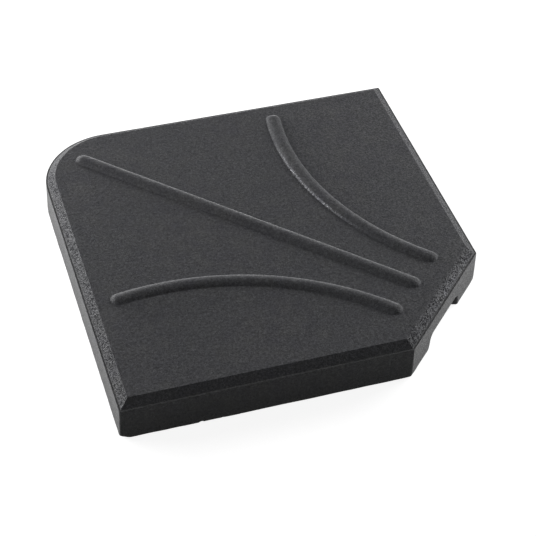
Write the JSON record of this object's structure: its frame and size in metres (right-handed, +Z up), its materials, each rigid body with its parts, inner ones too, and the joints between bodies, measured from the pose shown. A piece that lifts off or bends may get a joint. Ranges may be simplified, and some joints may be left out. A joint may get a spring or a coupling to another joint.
{
  "type": "square concrete weight slab",
  "caption": "Flat square concrete ballast slab with a rounded outer corner, a cut inner corner with a finger recess, a bevelled rim and raised ribs.",
  "frame": {"origin": "centre of the square footprint on the underside", "axes": "+X along the rear side to the right, +Y to the rear, +Z up; the rounded corner is at -X +Y and the cut corner at +X -Y"},
  "size_m": [0.4698, 0.4698, 0.0577],
  "materials": {
    "pigmented_concrete": "smooth as cast, matt, fine grain, anthracite pigment throughout"
  },
  "bodies": {
    "root": {"weight_slab": "pigmented_concrete"}
  },
  "joints": []
}
